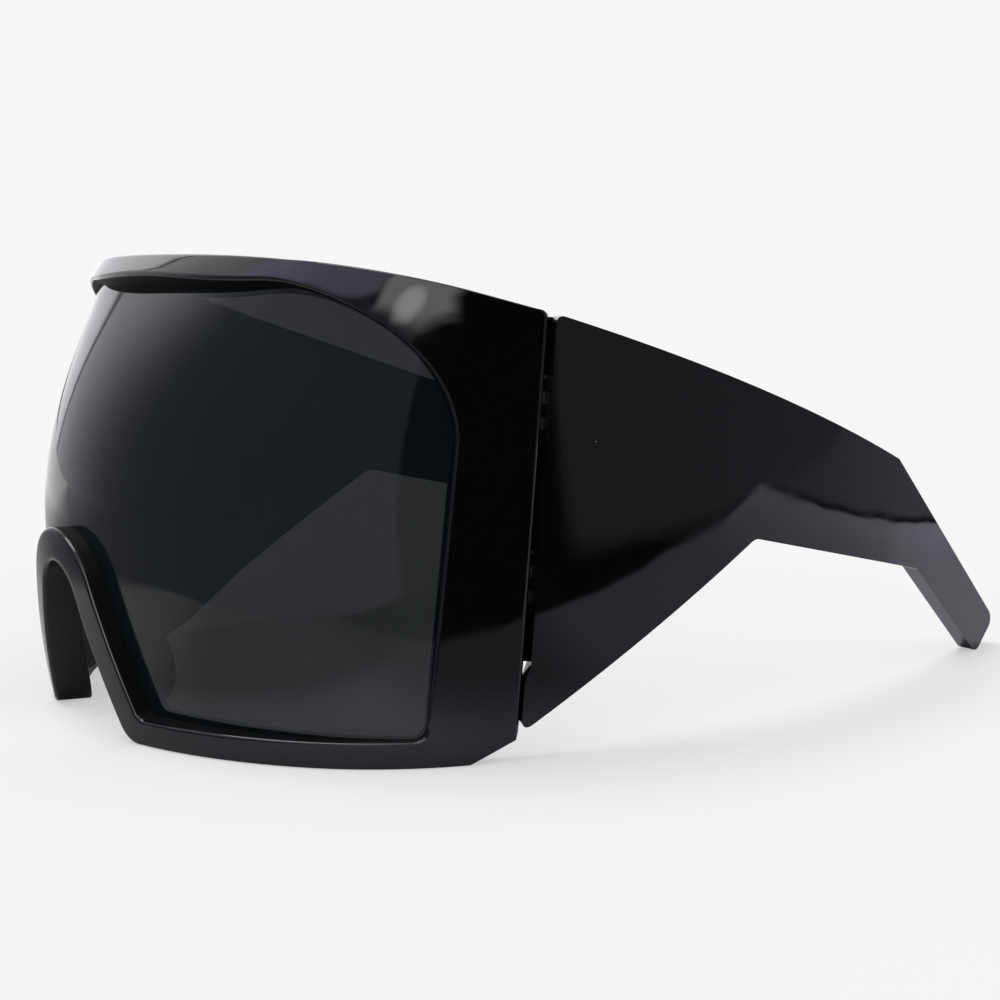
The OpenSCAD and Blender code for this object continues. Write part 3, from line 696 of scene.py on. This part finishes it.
def surface(name, colour, inputs):
    """A new material with one Principled surface; its maker adds what varies over it."""
    material = bpy.data.materials.new(name)
    material.use_nodes = True
    shader = Shader(material.node_tree)
    place = shader.node("ShaderNodeTexCoord").outputs["Object"]
    bsdf = shader.node("ShaderNodeBsdfPrincipled", None, {"Base Color": colour, **inputs})
    out = shader.node("ShaderNodeOutputMaterial")
    shader.tree.links.new(bsdf.outputs[0], out.inputs["Surface"])
    return material, shader, place, bsdf


def noise(shader, place, size, detail):
    """Noise whose patches measure about size."""
    return shader.value("ShaderNodeTexNoise", None, {"Vector": place, "Scale": 1 / size, "Detail": detail})


def specks(shader, place, spacing, radius, share):
    """Mask of small round specks, on a share of the cells."""
    cells = shader.node("ShaderNodeTexVoronoi", {"feature": "F1"}, {"Vector": place, "Scale": 1 / spacing})
    chance = shader.value("ShaderNodeSeparateColor", None, {0: cells.outputs["Color"]})
    near = 1 - shader.ramp(Value(shader, cells.outputs["Distance"]), radius / spacing / 2, radius / spacing)
    return near * shader.ramp(chance, 1 - share, 1 - share / 2)


def relief(shader, bsdf, height, strength, distance):
    """Bump on a surface, where a height of 1 stands for the distance."""
    made = shader.node("ShaderNodeBump", None, {"Strength": strength, "Distance": distance, "Height": height})
    shader.put(bsdf.inputs["Normal"], made.outputs[0])


# Colours of the finishes, and of the dust on them
PLASTIC_BLACK = (0.0024, 0.0024, 0.0027)
PLASTIC_DUST = (0.25, 0.25, 0.26)
LENS_TINT = (0.004, 0.007, 0.008)
LENS_DUST = (0.3, 0.3, 0.3)
PAD_BLACK = (0.02, 0.02, 0.021)
LEAF_STEEL = (0.03, 0.03, 0.032)
SCREW_STEEL = (0.04, 0.04, 0.042)

# How strongly the surfaces reflect, and how much of what lies behind it the lens hides
PLASTIC_IOR = 1.5
PAD_IOR = 1.42
WALL_SPECULAR = 0.12
LENS_ALPHA, LENS_DUST_ALPHA = 0.86, 0.15

# Roughness of each finish where it is clean, and what its marks or its grain add
GLOSS_ROUGH, GLOSS_HAZE, GLOSS_DUST = 0.035, 0.05, 0.5
WALL_ROUGH, WALL_GRAIN = 0.5, 0.15
LENS_ROUGH, LENS_HAZE = 0.02, 0.03
PAD_ROUGH, PAD_GRAIN = 0.38, 0.2
STEEL_ROUGH, STEEL_BRUSH = 0.22, 0.2

# Scale of the brush lines along the seam, against that across them
BRUSH_STRETCH = 0.08


def gloss_black():
    """Polished black plastic: faint flow waves, handling haze and a little dust."""
    material, shader, place, bsdf = surface("gloss_black_plastic", PLASTIC_BLACK, {"IOR": PLASTIC_IOR})
    waves = noise(shader, place, size=14 * MM, detail=1.0)
    haze = shader.ramp(noise(shader, place, size=9 * MM, detail=4.0), 0.45, 0.8)
    dust = specks(shader, place, spacing=5 * MM, radius=0.12 * MM, share=0.12)
    shader.put(bsdf.inputs["Base Color"], shader.mixed(dust, PLASTIC_BLACK, PLASTIC_DUST))
    shader.put(bsdf.inputs["Roughness"], GLOSS_ROUGH + haze * GLOSS_HAZE + dust * GLOSS_DUST)
    relief(shader, bsdf, waves, strength=0.05, distance=1 * MM)
    return material


def plain_black():
    """The same plastic where the mould is not polished."""
    material, shader, place, bsdf = surface("plain_black_plastic", PLASTIC_BLACK,
                                            {"IOR": PLASTIC_IOR, "Specular IOR Level": WALL_SPECULAR})
    grain = noise(shader, place, size=1.5 * MM, detail=3.0)
    shader.put(bsdf.inputs["Roughness"], WALL_ROUGH + grain * WALL_GRAIN)
    return material


def smoked_lens():
    """Smoked lens: a faint green tint, see-through, with a thin haze from handling."""
    material, shader, place, bsdf = surface("smoked_lens", LENS_TINT, {"IOR": PLASTIC_IOR})
    haze = shader.ramp(noise(shader, place, size=16 * MM, detail=3.0), 0.4, 0.85)
    dust = specks(shader, place, spacing=9 * MM, radius=0.15 * MM, share=0.15)
    shader.put(bsdf.inputs["Base Color"], shader.mixed(dust, LENS_TINT, LENS_DUST))
    shader.put(bsdf.inputs["Roughness"], LENS_ROUGH + haze * LENS_HAZE)
    shader.put(bsdf.inputs["Alpha"], LENS_ALPHA + dust * LENS_DUST_ALPHA)
    return material


def soft_black():
    """Soft silicone of the nose pads."""
    material, shader, place, bsdf = surface("soft_silicone", PAD_BLACK, {"IOR": PAD_IOR})
    grain = noise(shader, place, size=0.4 * MM, detail=3.0)
    shader.put(bsdf.inputs["Roughness"], PAD_ROUGH + grain * PAD_GRAIN)
    relief(shader, bsdf, grain, strength=0.25, distance=0.05 * MM)
    return material


def steel(name, colour, line_w):
    """Brushed steel, with its brush lines stretched along the seam."""
    material, shader, place, bsdf = surface(name, colour, {"Metallic": 1.0})
    along = shader.node("ShaderNodeMapping", None, {"Vector": place, "Scale": (1, 1, BRUSH_STRETCH)})
    brush = noise(shader, along.outputs[0], size=line_w, detail=4.0)
    shader.put(bsdf.inputs["Roughness"], STEEL_ROUGH + brush * STEEL_BRUSH)
    relief(shader, bsdf, brush, strength=0.2, distance=0.03 * MM)
    return material


# Stage: a white table, even light, and one broad lamp above
WHITE = 0.93
SKY_SHARE = 0.6
SHADE_SHARE = 0.5
FLOOR_HALF_W = 6
BROAD_LAMP_SPREAD = deg(35)
BROAD_LAMP_TILT = Vector((0.25, 0.2, -1)).normalized()

# The table in the gloss, painted into the floor's colour as a painted reflection with painted light and shade,
# in metres: each pair is where a change starts and ends along x or y
# Painted light level of the white table in the gloss
TABLE_PAINTED_LEVEL = 0.62
TABLE_SOFT = 0.006
TABLE_FRONT_Y = -0.205
TABLE_FRONT_SLOPE = 0.33
TABLE_BACK_Y = 0.275
TABLE_CORNER = Vector((0.25, 0.088))
TABLE_CORNER_SLOPE = 0.5
TABLE_SIDE_SLOPE = 0.3
FRONT_BLUR, FRONT_BLUR_X = 0.25, (-0.25, 0)
BLUE_SHARE, BLUE_X = 0.2, (-0.05, 0.1)
# Painted light: brighter patches of the table at its back, at its left and along the rim
BACK_LIGHT, BACK_LIGHT_Y = 0.15, (0.2, 0.26)
LEFT_LIGHT, LEFT_LIGHT_X = 0.9, (-0.5, -0.28)
RIM_LIGHT, RIM_LIGHT_Y = 0.25, (-0.1, -0.085)
RIM_LIGHT_START, RIM_LIGHT_END = (0.02, 0.05), (0.08, 0.11)

# Painted shade on the table: each dimmer area starts at a pair in x, ends at a pair in y, and dims by a share
DIM_BESIDE = ((0.08, 0.12), (0.12, 0.2), 0.27)
DIM_CORNER = ((0.1, 0.14), (-0.02, 0.01), 0.5)
DIM_IN_FRONT = ((-0.01, 0.03), (-0.115, -0.095), 0.6)

# The floor past the table's side and past its back, at the brightness painted into its reflection
PAST_SIDE, PAST_SIDE_X, PAST_SIDE_Y = 0.2, (0.262, 0.31), (-0.045, -0.02)
PAST_SIDE_SLOPE = 0.25
PAST_BACK, PAST_BACK_SOFT = 0.28, 0.02

# The room in the gloss: colours, and pairs of bearings from straight in front towards +X
ROOM = (0.21, 0.205, 0.27)
BACKDROP = (0.8, 0.8, 0.84)
DARK = (0.0, 0.0, 0.0)
ROOM_START, ROOM_END = (deg(-86), deg(-40)), (deg(55.5), deg(58))
PANEL, PANEL_END = (1.3, 1.3, 1.35), (deg(-90), deg(-88))
PANEL_EDGE = (0.3, 0.3, 0.32)
PANEL_EDGE_START, PANEL_EDGE_END = (deg(-88.6), deg(-88)), (deg(-87.4), deg(-86.8))
SIDE_WALL, SIDE_WALL_START = (0.19, 0.2, 0.24), (deg(103.5), deg(106))
BACKDROP_START = (deg(158), deg(172))
CEILING, CEILING_END = (0.85, 0.87, 0.88), (deg(60), deg(84))
VIOLET = (1.05, 1.05, 1.4)
VIOLET_START, VIOLET_END = (deg(-58), deg(-50)), (deg(24), deg(30))
NEAR_WALL = (2.3, 2.35, 2.35)
NEAR_WALL_START, NEAR_WALL_END = (deg(28), deg(33)), (deg(68), deg(84))
OVERHEAD = (0.9, 0.9, 0.92)

# Heights in the room, as sines of the rise: pairs again, and by how much two of them come lower past a bearing
SIDE_WALL_TOP = (0.45, 0.7)
CEILING_FOOT = (0.5, 0.6)
CEILING_DIP, CEILING_DIP_START = 0.12, (deg(-20), deg(20))
NEAR_WALL_FOOT = (0.22, 0.36)
NEAR_WALL_DIP, NEAR_WALL_DIP_START = 0.2, (deg(30), deg(58))
OVERHEAD_FOOT = (0.75, 0.9)

# The lamp that the gloss shows
LAMP = (5.0, 5.05, 5.0)
LAMP_BEARING = deg(48)
LAMP_RISE = deg(16)
LAMP_REACH = deg(10)


def axes(shader, output):
    """An output of Texture Coordinate, and its three numbers."""
    place = shader.node("ShaderNodeTexCoord").outputs[output]
    split = shader.node("ShaderNodeSeparateXYZ", None, {0: place})
    return place, [Value(shader, socket) for socket in split.outputs]


def ray_kinds(shader):
    """1 for rays of the gloss, and 1 for rays from the eye."""
    rays = shader.node("ShaderNodeLightPath")
    return [Value(shader, rays.outputs[kind]) for kind in ("Is Glossy Ray", "Is Camera Ray")]


def bearing_of(x, y):
    """Turn from straight in front of the glasses towards +X."""
    return x.calc("ARCTAN2", x, 0 - y)


def towards(bearing, rise):
    """Direction at a bearing from straight in front towards +X, and at a rise over the table."""
    return Vector((math.sin(bearing) * math.cos(rise), -math.cos(bearing) * math.cos(rise), math.sin(rise)))


def room_look(shader, bearing):
    """The dim room in front: a bright panel and the backdrop at its left, and dark at its right."""
    look = shader.mixed(shader.ramp(bearing, *ROOM_END), ROOM, DARK)
    look = shader.mixed(shader.ramp(bearing, *ROOM_START), BACKDROP, look)
    look = shader.mixed(1 - shader.ramp(bearing, *PANEL_END), look, PANEL)
    return shader.mixed(shader.band(bearing, PANEL_EDGE_START, PANEL_EDGE_END), look, PANEL_EDGE)


def painted_table_reflection(shader, x, y, on_table):
    """Painted reflection: how bright the table and the floor past it are in the gloss, with painted light and
    painted shade.
    """
    table = on_table * (1 + (1 - shader.ramp(x, *LEFT_LIGHT_X)) * LEFT_LIGHT)
    # Painted shade: each dimmer area darkens the table
    for starts_x, ends_y, share in (DIM_BESIDE, DIM_CORNER, DIM_IN_FRONT):
        table = table * (1 - shader.ramp(x, *starts_x) * (1 - shader.ramp(y, *ends_y)) * share)
    # Painted light along the rim and at the back of the table
    near_rim = shader.band(x, RIM_LIGHT_START, RIM_LIGHT_END) * shader.ramp(y, *RIM_LIGHT_Y) * RIM_LIGHT
    table = table * (1 + near_rim) * (TABLE_PAINTED_LEVEL + shader.ramp(y, *BACK_LIGHT_Y) * BACK_LIGHT)
    beside = shader.ramp(x, *PAST_SIDE_X)
    past_side = beside * shader.ramp(y - x * PAST_SIDE_SLOPE, *PAST_SIDE_Y) * PAST_SIDE
    past_back = (1 - beside) * shader.ramp(y - TABLE_BACK_Y, 0, PAST_BACK_SOFT) * PAST_BACK
    return table + (past_side + past_back)


def add_floor():
    """Table top: white to the eye; in the gloss its colour is a painted reflection of the table's light and
    shade, and of the room past its front edge.
    """
    bm = bmesh.new()
    bmesh.ops.create_grid(bm, x_segments=1, y_segments=1, size=FLOOR_HALF_W)
    mesh = bpy.data.meshes.new("floor")
    bm.to_mesh(mesh)
    bm.free()
    floor = bpy.data.objects.new("floor", mesh)
    bpy.context.scene.collection.objects.link(floor)
    material = bpy.data.materials.new("pale_table")
    material.use_nodes = True
    shader = Shader(material.node_tree)
    _, (x, y, _) = axes(shader, "Object")
    past_corner = y - TABLE_CORNER.y
    corner_edge = TABLE_CORNER.x + past_corner * TABLE_CORNER_SLOPE
    side_edge = TABLE_CORNER.x + past_corner * TABLE_SIDE_SLOPE
    front_edge = TABLE_FRONT_Y + x * TABLE_FRONT_SLOPE
    front_soft = (1 - shader.ramp(x, *FRONT_BLUR_X)) * FRONT_BLUR + TABLE_SOFT
    past_front = 1 - shader.ramp(y - front_edge, 0, front_soft)
    on_table = ((1 - past_front) * shader.ramp(corner_edge - x, 0, TABLE_SOFT)
                * shader.ramp(side_edge - x, 0, TABLE_SOFT) * shader.ramp(TABLE_BACK_Y - y, 0, TABLE_SOFT))
    glossy, camera = ray_kinds(shader)
    # For glossy rays the colour is the painted reflection; for the eye and for diffuse light it is plain white
    grey = (glossy * painted_table_reflection(shader, x, y, on_table) + (1 - glossy - camera) * WHITE
            + camera * (WHITE * SHADE_SHARE))
    blue = grey * (1 + glossy * shader.ramp(x, *BLUE_X) * BLUE_SHARE)
    # Past the table's front edge the room's look is painted on the floor for the gloss: a painted reflection
    room = room_look(shader, bearing_of(x, y))
    colour = shader.mixed(glossy * past_front, shader.rgb(grey, grey, blue), room)
    bsdf = shader.node("ShaderNodeBsdfDiffuse", None, {"Color": colour})
    glow = shader.node("ShaderNodeEmission", None, {"Strength": camera * (WHITE * (1 - SHADE_SHARE))})
    both = shader.node("ShaderNodeAddShader", None, {0: bsdf.outputs[0], 1: glow.outputs[0]})
    out = shader.node("ShaderNodeOutputMaterial")
    shader.tree.links.new(both.outputs[0], out.inputs["Surface"])
    mesh.materials.append(material)


def add_world():
    """White for the eye and even for diffuse light; the gloss sees a dim room with a backdrop and a lamp."""
    world = bpy.data.worlds.new("studio")
    bpy.context.scene.world = world
    world.use_nodes = True
    shader = Shader(world.node_tree)
    direction, (x, y, rise) = axes(shader, "Generated")
    bearing = bearing_of(x, y)
    low_side = shader.ramp(bearing, *SIDE_WALL_START) * (1 - shader.ramp(rise, *SIDE_WALL_TOP))
    # The ceiling comes lower towards +X, and is violet in its middle
    dip = shader.ramp(bearing, *CEILING_DIP_START) * CEILING_DIP
    ceiling = shader.ramp(rise + dip, *CEILING_FOOT) * (1 - shader.ramp(bearing, *CEILING_END))
    upper = shader.mixed(shader.band(bearing, VIOLET_START, VIOLET_END), CEILING, VIOLET)
    near_dip = shader.ramp(bearing, *NEAR_WALL_DIP_START) * NEAR_WALL_DIP
    near_wall = (shader.band(bearing, NEAR_WALL_START, NEAR_WALL_END)
                 * shader.ramp(rise + near_dip, *NEAR_WALL_FOOT))
    near = shader.value("ShaderNodeVectorMath", {"operation": "DOT_PRODUCT"},
                        {0: direction, 1: towards(LAMP_BEARING, LAMP_RISE)}, 1)
    look = shader.mixed(low_side, room_look(shader, bearing), SIDE_WALL)
    look = shader.mixed(ceiling, look, upper)
    look = shader.mixed(near_wall, look, NEAR_WALL)
    look = shader.mixed(shader.ramp(bearing, *BACKDROP_START), look, BACKDROP)
    look = shader.mixed(shader.ramp(rise, *OVERHEAD_FOOT), look, OVERHEAD)
    look = shader.mixed(shader.ramp(near, math.cos(LAMP_REACH), 1), look, LAMP)
    glossy, camera = ray_kinds(shader)
    even = camera * WHITE + (1 - camera) * SKY_SHARE
    colour = shader.mixed(glossy, shader.rgb(even, even, even), look)
    background = shader.node("ShaderNodeBackground", None, {"Color": colour})
    out = shader.node("ShaderNodeOutputWorld")
    shader.tree.links.new(background.outputs[0], out.inputs["Surface"])


def add_lights():
    """One broad soft lamp from above: with the even light it brings white to full."""
    light = bpy.data.lights.new("broad_lamp", "SUN")
    light.angle = BROAD_LAMP_SPREAD
    light.energy = math.pi * (1 - SKY_SHARE) / -BROAD_LAMP_TILT.z
    lamp = bpy.data.objects.new("broad_lamp", light)
    bpy.context.scene.collection.objects.link(lamp)
    lamp.rotation_euler = BROAD_LAMP_TILT.to_track_quat("-Z", "Y").to_euler()


# Camera at the photograph's viewing angle
CAMERA_TURN = deg(57.80)
CAMERA_RISE = deg(7.53)
CAMERA_ROLL = deg(-1.23)
CAMERA_DISTANCE = 410.0 * MM
CAMERA_AIM = Vector((0, 4.09 * MM, 34.24 * MM))
FOCAL_SHARE = 1.9256


def add_camera():
    back = towards(CAMERA_TURN, CAMERA_RISE)
    right = Vector((math.cos(CAMERA_TURN), math.sin(CAMERA_TURN), 0))
    up = back.cross(right)
    rolled_right = math.cos(CAMERA_ROLL) * right + math.sin(CAMERA_ROLL) * up
    rolled_up = math.cos(CAMERA_ROLL) * up - math.sin(CAMERA_ROLL) * right
    data = bpy.data.cameras.new("camera")
    data.sensor_width = 36
    data.lens = data.sensor_width * FOCAL_SHARE
    data.clip_start = 0.01
    camera = bpy.data.objects.new("camera", data)
    bpy.context.scene.collection.objects.link(camera)
    turned = Matrix((rolled_right, rolled_up, back)).transposed().to_4x4()
    camera.matrix_world = Matrix.Translation(CAMERA_AIM + back * CAMERA_DISTANCE) @ turned
    bpy.context.scene.camera = camera


def dress_hardware():
    """Steel for the hinges and screws, which stay as the CAD model has them."""
    leaf = steel("hinge_steel", LEAF_STEEL, line_w=0.5 * MM)
    screw = steel("screw_steel", SCREW_STEEL, line_w=0.3 * MM)
    for name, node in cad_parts.items():
        if "leaf" in name or "screw" in name:
            node.data.materials.clear()
            node.data.materials.append(screw if "screw" in name else leaf)


add_camera()
add_floor()
add_world()
add_lights()
black = gloss_black()
rubber = soft_black()
front_frame(black, plain_black())
lens(smoked_lens())
for side in (1, -1):
    nose_pad(side, rubber)
    temple(side, black)
dress_hardware()

bpy.context.scene.view_settings.view_transform = "Standard"
